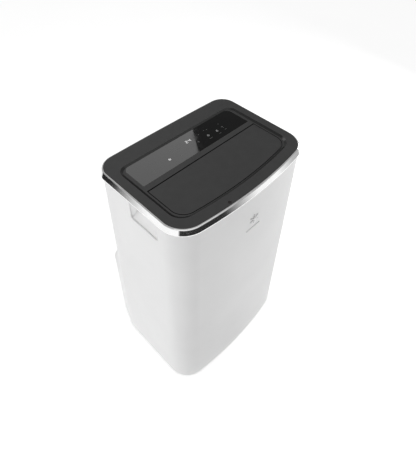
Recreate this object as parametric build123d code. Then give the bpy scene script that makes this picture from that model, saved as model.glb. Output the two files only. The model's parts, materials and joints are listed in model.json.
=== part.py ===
"""Portable air conditioner, floor standing, on four swivel casters.

Millimetres.  Front at -Y, back at +Y, +Z up, origin on the floor under the middle of the case.
A wrap-around front shell and a rear shell with a deeper lower half stand on a base pan.  A bright
ring and a dark top deck close the case; the deck holds the touch glass and the air outlet, which a
motor-driven flap covers.  Inside: evaporator and blower above, compressor, condenser and blower below.
"""
from build123d import *
import math
import os

# ---------------------------------------------------------------- driving dimensions
HEIGHT = 730.0             # floor to the top of the deck
DEPTH_HALF = 190.0         # case runs from -190 to +190 at its foot
RIM_HALF_W = 208.0         # plan of the deck's edge
RIM_FRONT = -173.0
RIM_REAR = 125.0
FRONT_BOW_R = 1140.0       # gentle bow of the front
REAR_BOW_R = 9000.0
RIM_CORNER_FRONT = 55.0
RIM_CORNER_REAR = 41.0

SHELL_BOTTOM = 12.0
SHELL_TOP = 714.0          # where the bright ring starts
SHELL_STEP = 4.83          # how far the shell stands outside the rim at its top
SHELL_DRAFT = 12.17        # how much further out it is at its foot
SHELL_CORNER_TOP = 60.0
SHELL_CORNER_FOOT = 68.0
SHELL_CORNER_REAR = 50.0
WALL = 3.0
SEAM_Y = 92.0              # front shell meets rear shell
SEAM_GAP = 0.4

BUSTLE_TOP = 310.0         # the lower rear is deeper up to here
SHOULDER_TOP = 385.0       # and slopes back into the upper wall here
BUSTLE_SIDE_X = 194.0      # where the slanting side would meet the rear plane
BUSTLE_CORNER = 42.0

RING_PROFILE = [           # distance outside the rim plan, height: a conical band under a rounded lip
    (4.4, 714.0), (7.8, 714.3), (8.5, 715.4), (8.2, 717.0), (6.0, 722.3), (3.7, 727.8), (3.1, 728.9), (2.0, 729.6),
    (0.0, 730.0),
]

DECK_BOTTOM = 718.0
DECK_GAP = 0.8             # deck to ring
RECESS_FLOOR = 727.0       # glass, strip and flap lie 3 mm below the rim
RECESS_HALF_W = 186.5
RECESS_FRONT = -146.0
RECESS_REAR = 79.0
RECESS_BOW_R = 1103.0
RECESS_CORNER_FRONT = 38.0
RECESS_CORNER_REAR = 24.0
RECESS_SLOPE = 6.0         # the edge of the recess slopes down over this width

FLAP_HALF_W = 174.2
FLAP_FRONT = -137.0
FLAP_CORNER = 34.0
FLAP_THICK = 3.5
FLAP_GAP = 1.8
FLAP_SEAT = 723.0          # ledge under the flap
HINGE_Y = -21.2
HINGE_Z = RECESS_FLOOR - FLAP_THICK / 2
HINGE_PIN_R = 1.0
FIT = 0.05                 # radial running clearance of pins and shafts
STRIP_Y = -17.8            # front edge of the strip between flap and glass

GLASS_HALF_W = 172.0
GLASS_FRONT = -2.0
GLASS_REAR = 72.0
GLASS_THICK = 2.8

THROAT_HALF_W = 165.0      # clear inside of the outlet duct
THROAT_FRONT = -118.0
THROAT_REAR = -30.0
THROAT_WALL = 2.0
FUNNEL_BOTTOM = 634.0
FUNNEL_TOP = 648.0

VANE_XS = [-120.0, -60.0, 0.0, 60.0, 120.0]
VANE_Z = 672.0             # swing axis of the vanes
VANE_ARM = 16.0            # vane axis to link pin
VANE_PIN_R = 1.5
LINK_PIN_R = 1.2

QUADRANT_R = 26.0          # gear quadrant under the flap and the pinion that drives it
PINION_R = 6.0
MESH_GAP = 0.4
MESH_ANGLE = 37.6
PINION_Y = HINGE_Y - (QUADRANT_R + PINION_R + MESH_GAP) * math.cos(math.radians(MESH_ANGLE))
PINION_Z = HINGE_Z - (QUADRANT_R + PINION_R + MESH_GAP) * math.sin(math.radians(MESH_ANGLE))
QUADRANT_X = (-163.0, -159.0)
PINION_X = (-163.5, -158.5)
FLAP_MOTOR_X = (-180.5, -167.5)
FLAP_MOTOR_R = 12.0
FLAP_SHAFT_R = 2.0

HANDLE_Y = (-92.0, 0.0)    # finger pockets under the ring
HANDLE_BOTTOM = 656.0
HANDLE_DEPTH = 18.0

COVER_HALF_W = 160.0       # upper intake cover
COVER_Z = (420.0, 670.0)
COVER_HINGE_Z = 424.0
COVER_PIN_R = 0.9
LOWER_GRILLE_X = (-180.0, -15.0)
LOWER_GRILLE_Z = (60.0, 290.0)

COLLAR_X = 82.0            # exhaust hose collar
COLLAR_Z = 190.0
COLLAR_BORE_R = 75.0
COLLAR_WALL = 4.0
GLAND_X = 150.0
GLAND_Z = 75.0

LOWER_DRAIN = (0.0, 34.0)
UPPER_DRAIN = (150.0, 398.0)
LOWER_PLUG_R = 7.0
UPPER_PLUG_R = 5.0

CASTER_X = 165.0
CASTER_YS = (-120.0, 105.0)
WHEEL_R = 20.0
WHEEL_W = 16.0
TRAIL = 14.0
AXLE_R = 3.0
STEM_R = 5.0
POCKET_R = 36.5
POCKET_TOP = 62.0

TRAY_Z = 388.0             # floor between the two compartments
EVAP_WHEEL = (0.0, 520.0)  # x, z of the room-air blower's axis, which lies along Y
EVAP_WHEEL_R = 90.0
EVAP_SCROLL_Y = (-118.0, -42.0)
COND_WHEEL = (0.0, 165.0)  # y, z of the exhaust blower's axis, which lies along X
COND_WHEEL_R = 70.0
COND_SCROLL_X = (40.0, 124.0)
SHAFT_R = 4.0
COMPRESSOR = (-75.0, -55.0)
COMPRESSOR_R = 62.0
ACCUMULATOR = (10.0, -85.0)
SPLASH = (95.0, 52.0)      # y, z of the splash wheel's axis, which lies along X

BASE = (Align.CENTER, Align.CENTER, Align.MIN)


# ---------------------------------------------------------------- helpers
def block(x, y, z):
    """Box from three (low, high) pairs."""
    mid = [(a + b) / 2 for a, b in (x, y, z)]
    size = [b - a for a, b in (x, y, z)]
    return Pos(*mid) * Box(*size)


def rod(axis, at, radius, length):
    """Cylinder of the given length that starts at a point and runs along +X, +Y or +Z."""
    turn = {"X": Rot(0, 90, 0), "Y": Rot(-90, 0, 0), "Z": Rot(0, 0, 0)}[axis]
    return Pos(*at) * turn * Cylinder(radius, length, align=BASE)


def pipe(axis, at, outer, inner, length):
    """Hollow cylinder."""
    return rod(axis, at, outer, length) - rod(axis, at, inner, length)


def side_plate(points, low_x, high_x):
    """Plate cut to an outline of (y, z) points, between two x."""
    return extrude(Plane.YZ.offset(low_x) * make_face(Polyline(points, close=True)), high_x - low_x)


def bowed_plan(half_w, front, rear, bow_front, corner_front, bow_rear, corner_rear, z=0.0):
    """Closed plan with a bowed front and rear, straight sides and four round corners."""

    def corner(apex, bow, radius, way):
        centre_y = apex - way * bow
        cx = half_w - radius
        cy = centre_y + way * math.sqrt((bow - radius) ** 2 - cx**2)
        length = math.hypot(cx, cy - centre_y)
        ux, uy = cx / length, (cy - centre_y) / length
        bow_end = (ux * bow, centre_y + uy * bow)
        mx, my = ux + 1.0, uy
        norm = math.hypot(mx, my)
        middle = (cx + radius * mx / norm, cy + radius * my / norm)
        return bow_end, middle, (half_w, cy)

    f_end, f_mid, f_side = corner(front, bow_front, corner_front, -1)
    r_end, r_mid, r_side = corner(rear, bow_rear, corner_rear, 1)

    def left(p):
        return (-p[0], p[1])

    edges = [
        ThreePointArc(left(f_end), (0, front), f_end),
        ThreePointArc(f_end, f_mid, f_side),
        Line(f_side, r_side),
        ThreePointArc(r_side, r_mid, r_end),
        ThreePointArc(r_end, (0, rear), left(r_end)),
        ThreePointArc(left(r_end), left(r_mid), left(r_side)),
        Line(left(r_side), left(f_side)),
        ThreePointArc(left(f_side), left(f_mid), left(f_end)),
    ]
    return Pos(0, 0, z) * make_face(edges)


def rim_plan(off, z):
    """The deck's edge, moved outward by off."""
    return bowed_plan(
        RIM_HALF_W + off, RIM_FRONT - off, RIM_REAR + off, FRONT_BOW_R + off,
        RIM_CORNER_FRONT + off, REAR_BOW_R + off, RIM_CORNER_REAR + off, z,
    )


def shell_off(z):
    """How far the case stands outside the rim plan at a height."""
    return SHELL_STEP + SHELL_DRAFT * (SHELL_TOP - z) / (SHELL_TOP - SHELL_BOTTOM)


def case_plan(z, inset=0.0):
    """Plan of the case at a height, moved inward by inset."""
    off = shell_off(z) - inset
    share = (SHELL_TOP - z) / (SHELL_TOP - SHELL_BOTTOM)
    corner = SHELL_CORNER_TOP + (SHELL_CORNER_FOOT - SHELL_CORNER_TOP) * share - inset
    return bowed_plan(
        RIM_HALF_W + off, RIM_FRONT - off, RIM_REAR + off, FRONT_BOW_R + off,
        corner, REAR_BOW_R + off, SHELL_CORNER_REAR - inset, z,
    )


def case_solid(inset, low, high):
    """The case between two heights, without its deeper lower rear."""
    return loft([case_plan(low, inset), case_plan(high, inset)], ruled=True)


def bustle_plan(z, inset, seam_x, seam_y, rear_x, rear_y):
    """Plan of the deeper lower rear: slanting sides and a flat back with round corners."""
    inner = seam_y - 40
    points = [
        (-seam_x, inner), (seam_x, inner), (seam_x, seam_y), (rear_x, rear_y),
        (-rear_x, rear_y), (-seam_x, seam_y),
    ]
    face = make_face(Polyline(points, close=True))
    back = [v for v in face.vertices() if abs(v.Y - rear_y) < 0.01]
    face = fillet(back, BUSTLE_CORNER)
    if inset:
        face = offset(face, amount=-inset, kind=Kind.INTERSECTION)
    return Pos(0, 0, z) * face


def bustle_solid(inset, low):
    """The deeper lower rear with its sloping shoulder."""
    foot_x = RIM_HALF_W + shell_off(SHELL_BOTTOM)
    top_x = RIM_HALF_W + shell_off(BUSTLE_TOP)
    lean = foot_x - top_x
    foot = bustle_plan(low, inset, foot_x, SEAM_Y, BUSTLE_SIDE_X, DEPTH_HALF)
    top = bustle_plan(BUSTLE_TOP - inset, inset, top_x, SEAM_Y, BUSTLE_SIDE_X - lean, DEPTH_HALF)
    end_x = RIM_HALF_W + shell_off(SHOULDER_TOP) - 1.0
    end_y = RIM_REAR + shell_off(SHOULDER_TOP) - 0.5
    end = bustle_plan(SHOULDER_TOP - inset, inset, end_x, SEAM_Y - 17, 180.0, end_y)
    return loft([foot, top], ruled=True) + loft([top, end], ruled=True)


def case_skin():
    """Outer walls of the case as one hollow body, open at the top and the foot."""
    outer = case_solid(0, SHELL_BOTTOM, SHELL_TOP) + bustle_solid(0, SHELL_BOTTOM)
    inner = case_solid(WALL, SHELL_BOTTOM, SHELL_TOP) + bustle_solid(WALL, SHELL_BOTTOM)
    return outer, outer - inner


def rear_wall_y(z):
    """Outside of the upper rear wall on the centre plane."""
    return RIM_REAR + shell_off(z)


def cover_pin_y():
    """Middle of the bowed rear wall at the ends of the intake cover."""
    return rear_wall_y(COVER_HINGE_Z) - COVER_HALF_W**2 / (2 * REAR_BOW_R) - WALL / 2


# ---------------------------------------------------------------- case
def handle_notch(side):
    """Space cut from the side of the shell for a finger pocket."""
    x = sorted((side * (RIM_HALF_W - HANDLE_DEPTH), side * (RIM_HALF_W + 20)))
    notch = block(x, HANDLE_Y, (HANDLE_BOTTOM, SHELL_TOP + 5))
    low = [e for e in notch.edges().filter_by(Axis.X) if e.center().Z < HANDLE_BOTTOM + 1]
    return fillet(low, 9)


def front_shell(skin):
    far = 400.0
    part = skin & block((-far, far), (-far, SEAM_Y - SEAM_GAP / 2), (0, HEIGHT))
    return part - handle_notch(1) - handle_notch(-1)


def rear_shell(skin):
    far = 400.0
    part = skin & block((-far, far), (SEAM_Y + SEAM_GAP / 2, far), (0, HEIGHT))
    part -= block((-COVER_HALF_W, COVER_HALF_W), (SEAM_Y + 10, far), COVER_Z)
    part -= block(LOWER_GRILLE_X, (SEAM_Y + 60, far), LOWER_GRILLE_Z)
    part -= rod("Y", (COLLAR_X, 150, COLLAR_Z), COLLAR_BORE_R + COLLAR_WALL + 0.5, 60)
    part -= rod("Y", (GLAND_X, 150, GLAND_Z), 9.0, 60)
    part -= rod("Y", (LOWER_DRAIN[0], 150, LOWER_DRAIN[1]), 13.0, 60)
    part -= rod("Y", (UPPER_DRAIN[0], 120, UPPER_DRAIN[1]), 8.3, 40)
    pin_from = (-COVER_HALF_W - 2.6, cover_pin_y(), COVER_HINGE_Z)
    part -= rod("X", pin_from, COVER_PIN_R + FIT, 2 * COVER_HALF_W + 5.2)
    # finger notch at the left edge of the cover, open to the corner
    part -= block((-COVER_HALF_W - 9, -COVER_HALF_W + 1), (SEAM_Y + 12, far), (500, 565))
    return part


def base_pan():
    top = 58.0
    rim = case_solid(WALL + 0.4, SHELL_BOTTOM, top) + bustle_foot(WALL + 0.4, top)
    hollow = case_solid(WALL + 3.4, SHELL_BOTTOM, top) + bustle_foot(WALL + 3.4, top)
    pan = rim - hollow
    floor = rim & block((-300, 300), (-300, 300), (14.0, 18.0))
    pan += floor
    for x in (-CASTER_X, CASTER_X):
        for y in CASTER_YS:
            pan += rod("Z", (x, y, 14), POCKET_R + 2.5, POCKET_TOP + 3 - 14)
            pan += rod("Z", (x, y, POCKET_TOP), 10.0, 20)
    for x in (-CASTER_X, CASTER_X):
        for y in CASTER_YS:
            pan -= rod("Z", (x, y, 0), POCKET_R, POCKET_TOP)
            pan -= rod("Z", (x, y, POCKET_TOP - 1), STEM_R + FIT, 17)
    port = rod("Y", (LOWER_DRAIN[0], 176, LOWER_DRAIN[1]), 10.0, 10)
    pan += port
    pan -= rod("Y", (LOWER_DRAIN[0], 160, LOWER_DRAIN[1]), LOWER_PLUG_R + FIT, 40)
    return pan


def bustle_foot(inset, top):
    """The lowest slice of the deeper rear."""
    foot_x = RIM_HALF_W + shell_off(SHELL_BOTTOM)
    top_x = RIM_HALF_W + shell_off(top)
    lean = foot_x - top_x
    low = bustle_plan(SHELL_BOTTOM, inset, foot_x, SEAM_Y, BUSTLE_SIDE_X, DEPTH_HALF)
    high = bustle_plan(top, inset, top_x, SEAM_Y, BUSTLE_SIDE_X - lean, DEPTH_HALF)
    return loft([low, high], ruled=True)


def chrome_ring():
    band = loft([rim_plan(off, z) for off, z in RING_PROFILE], ruled=True)
    return band - extrude(rim_plan(0, SHELL_TOP - 1), HEIGHT - SHELL_TOP + 2)


def recess_plan(z, grow=0.0):
    return bowed_plan(
        RECESS_HALF_W + grow, RECESS_FRONT - grow, RECESS_REAR + grow, RECESS_BOW_R + grow,
        RECESS_CORNER_FRONT + grow, REAR_BOW_R, RECESS_CORNER_REAR + grow, z,
    )


def flap_plan(z, grow, rear_y):
    """Plan of the flap, cut square along its hinge."""
    face = bowed_plan(
        FLAP_HALF_W + grow, FLAP_FRONT - grow, 60.0, RECESS_BOW_R + grow,
        FLAP_CORNER + grow, REAR_BOW_R, 20.0, z,
    )
    return face - Pos(0, rear_y + 100, z) * Rectangle(500, 200)


def top_deck():
    plate = extrude(rim_plan(-DECK_GAP, DECK_BOTTOM), HEIGHT - DECK_BOTTOM)
    skirt = DECK_BOTTOM - 4.5
    plate += extrude(rim_plan(-DECK_GAP, skirt), 4.5) - extrude(rim_plan(-DECK_GAP - 3, skirt), 4.5)
    hollow = extrude(rim_plan(-DECK_GAP - 3, DECK_BOTTOM), 9) - extrude(recess_plan(DECK_BOTTOM, 3), 9)
    plate -= hollow
    plate -= loft([recess_plan(RECESS_FLOOR, -RECESS_SLOPE), recess_plan(HEIGHT)])
    plate -= extrude(flap_plan(FLAP_SEAT, FLAP_GAP, STRIP_Y), RECESS_FLOOR - FLAP_SEAT)
    plate -= block((-THROAT_HALF_W, THROAT_HALF_W), (THROAT_FRONT, THROAT_REAR), (700, FLAP_SEAT + 1))
    glass_seat = RECESS_FLOOR - GLASS_THICK - 0.2
    plate -= extrude(glass_plan(glass_seat, 0.3), HEIGHT - glass_seat)
    plate -= block((-150, 150), (10, 60), (700, glass_seat + 1))
    pin_x = FLAP_HALF_W + FLAP_GAP + 5
    plate -= rod("X", (-pin_x, HINGE_Y, HINGE_Z), HINGE_PIN_R + FIT, 2 * pin_x)
    low_x, high_x = QUADRANT_X
    plate -= block((low_x - 1.5, high_x + 1.5), (-32, -11.5), (700, FLAP_SEAT + 0.5))
    plate -= rod("Z", (-74, -163, 700), 4.05, 40)
    return plate


def glass_plan(z, grow):
    half_w = GLASS_HALF_W + grow
    face = Pos(0, (GLASS_FRONT + GLASS_REAR) / 2, z) * Rectangle(2 * half_w, GLASS_REAR - GLASS_FRONT + 2 * grow)
    rear = [v for v in face.vertices() if v.Y > 0.5 * GLASS_REAR]
    return fillet(rear, 15 + grow)


def control_glass():
    return extrude(glass_plan(RECESS_FLOOR - GLASS_THICK, 0), GLASS_THICK)


def control_board():
    """Circuit board with its display block, touch springs and four standing posts."""
    board = block((-165, 165), (4, 66), (708.0, 709.6))
    board += block((-20, 30), (38, 56), (709.6, 716.0))
    for x in (-158, 158):
        for y in (7.5, 62.5):
            board += rod("Z", (x, y, 709.6), 3.0, DECK_BOTTOM - 709.6)
    for x in (-123, -97, -70, -40, 24, 58, 88, 111):
        board += rod("Z", (x, 26, 709.6), 5.0, 13.4)
    board += block((-60, -30), (40, 58), (703.0, 708.0))
    board += block((60, 90), (12, 30), (704.5, 708.0))
    return board


def ir_lens():
    return rod("Z", (-74, -163, 726.0), 4.0, HEIGHT - 726.0)


def front_emblem(outer):
    """Plain six-armed crystal over a bar, raised from the front."""
    y_in, reach = -174.0, 7.0
    marks = []
    for turn in (0, 60, 120):
        bar = Box(2.4, reach, 30)
        marks.append(Pos(2, y_in - reach / 2, 628) * Rot(0, turn, 0) * bar)
    marks.append(Pos(2, y_in - reach / 2, 598) * Box(48, reach, 2.4))
    crystal = marks[0] + marks[1] + marks[2]
    return (crystal - outer) + (marks[3] - outer)


def handle_cup(side):
    """Finger pocket: a pan behind the opening with a floor that slopes outward."""
    deep = RIM_HALF_W - HANDLE_DEPTH
    outer_x = RIM_HALF_W + 2.0
    y0, y1 = HANDLE_Y
    z0, z1 = HANDLE_BOTTOM - 2.5, SHELL_TOP - 1.2
    body = block((deep - 2.5, outer_x), (y0 - 2.5, y1 + 2.5), (z0, z1))
    lip, back = HANDLE_BOTTOM + 0.5, HANDLE_BOTTOM + 12
    profile = make_face(Polyline(
        [(deep, back), (deep, z1 - 2.5), (outer_x + 1, z1 - 2.5), (outer_x + 1, lip)], close=True,
    ))
    hollow = Pos(0, y1, 0) * Rot(90, 0, 0) * extrude(profile, y1 - y0)
    cup = body - hollow
    return cup if side > 0 else mirror(cup, Plane.YZ)


# ---------------------------------------------------------------- rear covers
def cover_window(grow_low):
    half = COVER_HALF_W - 0.4
    return block((-half, half), (SEAM_Y + 10, 300), (COVER_Z[0] + grow_low, COVER_Z[1] - 0.4))


def upper_cover(skin):
    panel = skin & cover_window(2.3)
    slots = []
    for row in range(18):
        z = COVER_Z[0] + 22 + row * 12.0
        for column in (-1, 0, 1):
            slots.append(Pos(column * 96, 130, z) * Box(88, 60, 6))
    panel -= slots
    for x in (-COVER_HALF_W - 2.0, COVER_HALF_W - 1.0):
        panel += rod("X", (x, cover_pin_y(), COVER_HINGE_Z), COVER_PIN_R, 3.0)
    # two arms inside that carry the filter
    for x in (-154, 154):
        panel += block((x - 2, x + 2), (123.0, 131.5), (640, 652))
        panel += block((x - 2, x + 2), (123.0, 134.0), (440, 452))
    return panel


def filter_frame(x, y, z, columns, rows):
    """Flat frame with crossing ribs."""
    frame = block(x, y, z)
    rib = 2.5
    width = (x[1] - x[0] - rib) / columns
    height = (z[1] - z[0] - rib) / rows
    holes = []
    for i in range(columns):
        for j in range(rows):
            cx = x[0] + rib / 2 + width * (i + 0.5)
            cz = z[0] + rib / 2 + height * (j + 0.5)
            holes.append(Pos(cx, (y[0] + y[1]) / 2, cz) * Box(width - rib, 50, height - rib))
    return frame - holes


def upper_filter():
    return filter_frame((-156, 156), (119.0, 123.0), (426, 664), 8, 6)


def lower_grille():
    x0, x1 = LOWER_GRILLE_X
    z0, z1 = LOWER_GRILLE_Z
    y = (DEPTH_HALF - WALL, DEPTH_HALF)
    panel = block((x0 + 0.4, -15.4), y, (z0 + 0.4, z1 - 0.4))
    slots = []
    for row in range(16):
        z = z0 + 25 + row * 12.0
        for column in (0, 1):
            slots.append(Pos(x0 + 48 + column * 70, DEPTH_HALF, z) * Box(62, 20, 6))
    panel -= slots
    for x, z in screw_places():
        panel -= rod("Y", (x, 180, z), 2.1, 20)
        panel -= rod("Y", (x, DEPTH_HALF - 1.6, z), 4.1, 5)
    return panel


def screw_places():
    return [(x, z) for x in (-172.0, -23.0) for z in (69.0, 281.0)]


def grille_screws():
    """Four pan-head screws in the lower grille's corners."""
    group = []
    for x, z in screw_places():
        head = rod("Y", (x, DEPTH_HALF - 1.6, z), 4.0, 1.4)
        group.append(head + rod("Y", (x, DEPTH_HALF - 11, z), 2.0, 9.5))
    return group[0] + group[1] + group[2] + group[3]


def lower_filter():
    return filter_frame((-164, -31), (180.5, 184.5), (80, 270), 4, 5)


def exhaust_collar():
    """Round collar that takes the exhaust hose, with a square entry plate."""
    collar = pipe("Y", (COLLAR_X, 141, COLLAR_Z), COLLAR_BORE_R + COLLAR_WALL, COLLAR_BORE_R, 48.5)
    plate = rod("Y", (COLLAR_X, 138, COLLAR_Z), COLLAR_BORE_R + 7, 3)
    plate -= block((COND_SCROLL_X[0] + 3, COND_SCROLL_X[1] - 3), (130, 150), (128, 254))
    return collar + plate


def cord_gland():
    gland = rod("Y", (GLAND_X, 178, GLAND_Z), 9.0, 11.6) + rod("Y", (GLAND_X, 183, GLAND_Z), 12.0, 4.0)
    return gland - rod("Y", (GLAND_X, 170, GLAND_Z), 4.2, 30)


def lower_drain_plug():
    x, z = LOWER_DRAIN
    return rod("Y", (x, 172, z), LOWER_PLUG_R, 15.0) + rod("Y", (x, 186.9, z), 9.5, 2.6)


def upper_drain_plug():
    x, z = UPPER_DRAIN
    return rod("Y", (x, 124, z), UPPER_PLUG_R, 14.3) + rod("Y", (x, 138.3, z), 7.5, 3.0)


# ---------------------------------------------------------------- outlet, flap and vanes
def outlet_throat():
    """Duct from the blower up to the flap, with bearings for the vanes."""
    t = THROAT_WALL
    mid_y = (THROAT_FRONT + THROAT_REAR) / 2
    deep = THROAT_REAR - THROAT_FRONT

    def layer(z, x, y, size_x, size_y):
        return Pos(x, y, z) * Rectangle(size_x, size_y)

    neck_x, neck_y = -46.0, -80.0
    outer = loft([
        layer(FUNNEL_BOTTOM, neck_x, neck_y, 131, 76), layer(FUNNEL_TOP, 0, mid_y, 2 * (THROAT_HALF_W + t), deep + 2 * t),
    ], ruled=True)
    inner = loft([
        layer(FUNNEL_BOTTOM, neck_x, neck_y, 127, 72), layer(FUNNEL_TOP, 0, mid_y, 2 * THROAT_HALF_W, deep),
    ], ruled=True)
    outer += block(
        (-THROAT_HALF_W - t, THROAT_HALF_W + t), (THROAT_FRONT - t, THROAT_REAR + t), (FUNNEL_TOP, DECK_BOTTOM),
    )
    inner += block((-THROAT_HALF_W, THROAT_HALF_W), (THROAT_FRONT, THROAT_REAR), (FUNNEL_TOP, DECK_BOTTOM))
    throat = outer - inner
    for x in VANE_XS:
        throat -= rod("Y", (x, THROAT_FRONT - t - 1, VANE_Z), VANE_PIN_R + FIT, deep + 2 * t + 2)
    low_x, high_x = QUADRANT_X
    throat -= block((low_x - 1.5, high_x + 1.5), (THROAT_REAR - 1, THROAT_REAR + t + 1), (692, DECK_BOTTOM))
    throat -= rod("X", (-THROAT_HALF_W - t - 1, PINION_Y, PINION_Z), 3.0, 5)
    return throat


def outlet_flap():
    """Outlet flap with a round hinge edge, two hinge pins, stiffening ribs and a gear quadrant."""
    under = RECESS_FLOOR - FLAP_THICK
    flap = extrude(flap_plan(under, 0, HINGE_Y), FLAP_THICK)
    flap += rod("X", (-FLAP_HALF_W, HINGE_Y, HINGE_Z), FLAP_THICK / 2, 2 * FLAP_HALF_W)
    for x in (-FLAP_HALF_W - 6.0, FLAP_HALF_W - 1):
        flap += rod("X", (x, HINGE_Y, HINGE_Z), HINGE_PIN_R, 7.0)
    for x in (-100, -50, 0, 50, 100):
        flap += block((x - 1, x + 1), (-112, -36), (under - 4, under))
    low_x, high_x = QUADRANT_X
    reach = QUADRANT_R + 4
    lean = math.tan(math.radians(22.0))
    drop = FLAP_THICK / 2
    wedge = side_plate([(-reach, -drop), (drop * lean, -drop), (reach * lean, -reach), (-reach, -reach)], low_x, high_x)
    disc = rod("X", (low_x, HINGE_Y, HINGE_Z), QUADRANT_R, high_x - low_x)
    return flap + (disc & (Pos(0, HINGE_Y, HINGE_Z) * wedge))


def flap_motor():
    """Stepping motor's can on the outside of the duct."""
    low_x, high_x = FLAP_MOTOR_X
    can = rod("X", (low_x, PINION_Y, PINION_Z), FLAP_MOTOR_R, high_x - low_x)
    can -= rod("X", (low_x + 1, PINION_Y, PINION_Z), FLAP_MOTOR_R - 1, high_x - low_x - 2)
    return can - rod("X", (high_x - 2, PINION_Y, PINION_Z), FLAP_SHAFT_R + FIT, 4)


def flap_rotor():
    """Rotor of the flap's motor with the shaft that carries the pinion."""
    low_x, high_x = FLAP_MOTOR_X
    rotor = rod("X", (low_x + 2, PINION_Y, PINION_Z), FLAP_MOTOR_R - 2, high_x - low_x - 4)
    return rotor + rod("X", (low_x + 2, PINION_Y, PINION_Z), FLAP_SHAFT_R, PINION_X[1] - low_x - 2)


def flap_pinion():
    low_x, high_x = PINION_X
    return pipe("X", (low_x, PINION_Y, PINION_Z), PINION_R, FLAP_SHAFT_R, high_x - low_x)


def vane(x):
    """Air guide: a thin upright blade on two pins, notched for the link."""
    half = 0.8
    blade = block((x - half, x + half), (THROAT_FRONT + 3, THROAT_REAR - 3), (VANE_Z - 20, VANE_Z + 20))
    blade -= block((x - 2, x + 2), (-82, -66), (VANE_Z - 21, VANE_Z - 7))
    for y in (THROAT_FRONT - THROAT_WALL, THROAT_REAR - 3.5):
        blade += rod("Y", (x, y, VANE_Z), VANE_PIN_R, 5.5)
    return blade + rod("Y", (x, -82.5, VANE_Z - VANE_ARM), LINK_PIN_R, 17.0)


def vane_link():
    """Bar that joins the vanes; each pin has a slot with room for its arc."""
    bar = block((-128, 128), (-78, -70), (VANE_Z - 20, VANE_Z - 10.5))
    lift = VANE_ARM * (1 - math.cos(math.radians(25.0)))
    half = LINK_PIN_R + 0.7
    low = VANE_Z - VANE_ARM - LINK_PIN_R - 0.4
    high = VANE_Z - VANE_ARM + lift + LINK_PIN_R + 0.4
    for x in VANE_XS:
        bar -= block((x - half, x + half), (-80, -68), (low, high))
    return bar


def vane_motor():
    y = THROAT_FRONT - THROAT_WALL - 0.3
    motor = rod("Y", (VANE_XS[0], y - 18, VANE_Z), 12.0, 18)
    return motor + block((VANE_XS[0] - 20, VANE_XS[0] + 20), (y - 2, y), (VANE_Z - 4, VANE_Z + 4))


# ---------------------------------------------------------------- blowers
def drum(axis, centre, radius, length, blades):
    """Centrifugal blower wheel from its back plate at centre, along +X or +Y."""
    along = {"X": Vector(1, 0, 0), "Y": Vector(0, 1, 0)}[axis]
    ring_w = 15.0
    wheel = rod(axis, centre, radius, 2.5)
    end = Vector(*centre) + along * (length - 3)
    wheel += pipe(axis, tuple(end), radius, radius - ring_w + 3, 3.0)
    wheel += rod(axis, centre, 12.0, 22.0)
    place = {"X": Rot(0, 90, 0), "Y": Rot(-90, 0, 0)}[axis]
    fins = []
    for i in range(blades):
        fin = Pos(radius - ring_w / 2, 0, 0) * Rot(0, 0, 35) * Box(ring_w - 2, 1.3, length - 1, align=BASE)
        fins.append(Pos(*centre) * place * Rot(0, 0, 360.0 / blades * i) * fin)
    wheel += fins
    return wheel - rod(axis, tuple(Vector(*centre) - along), SHAFT_R + FIT, 26)


def evap_scroll():
    x, z = EVAP_WHEEL
    y0, y1 = EVAP_SCROLL_Y
    r = 112.0
    t = 2.0
    outer = rod("Y", (x, y0, z), r, y1 - y0) + block((x - r, 20), (y0, y1), (z, FUNNEL_BOTTOM))
    inner = rod("Y", (x, y0 + t, z), r - t, y1 - y0 - 2 * t)
    inner += block((x - r + t, 18), (y0 + t, y1 - t), (z, FUNNEL_BOTTOM + 5))
    scroll = outer - inner
    scroll -= rod("Y", (x, y1 - 5, z), 74.0, 10)
    return scroll - rod("Y", (x, y0 - 5, z), 20.0, 10)


def evap_motor():
    x, z = EVAP_WHEEL
    y0 = EVAP_SCROLL_Y[0]
    motor = rod("Y", (x, y0 - 46, z), 42.0, 43) + rod("Y", (x, y0 - 3, z), SHAFT_R, 26)
    for turn in (45, 135, 225, 315):
        a = math.radians(turn)
        motor += rod("Y", (x + 34 * math.cos(a), y0 - 3, z + 34 * math.sin(a)), 5.0, 3.0)
    return motor


def evap_wheel():
    return drum("Y", (EVAP_WHEEL[0], EVAP_SCROLL_Y[0] + 6, EVAP_WHEEL[1]), EVAP_WHEEL_R, 62, 36)


def cond_scroll():
    y, z = COND_WHEEL
    x0, x1 = COND_SCROLL_X
    r = 92.0
    t = 2.0
    outer = rod("X", (x0, y, z), r, x1 - x0) + block((x0, x1), (y, 138), (125, z + r))
    inner = rod("X", (x0 + t, y, z), r - t, x1 - x0 - 2 * t)
    inner += block((x0 + t, x1 - t), (y, 145), (125 + t, z + r - t))
    scroll = outer - inner
    return scroll - rod("X", (x0 - 5, y, z), 54.0, x1 - x0 + 10)


def cond_motor():
    """Exhaust blower motor on a cross bar over the inlet."""
    y, z = COND_WHEEL
    x1 = COND_SCROLL_X[1]
    motor = rod("X", (x1 + 3, y, z), 36.0, 44) + block((x1, x1 + 3), (y - 64, y + 64), (z - 9, z + 9))
    return motor + rod("X", (x1 - 26, y, z), SHAFT_R, 30)


def cond_wheel():
    wheel = drum("X", (0, COND_WHEEL[0], COND_WHEEL[1]), COND_WHEEL_R, 68, 30)
    flipped = Pos(COND_SCROLL_X[1] - 6, 0, 0) * mirror(wheel, Plane.YZ)
    return flipped


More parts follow.
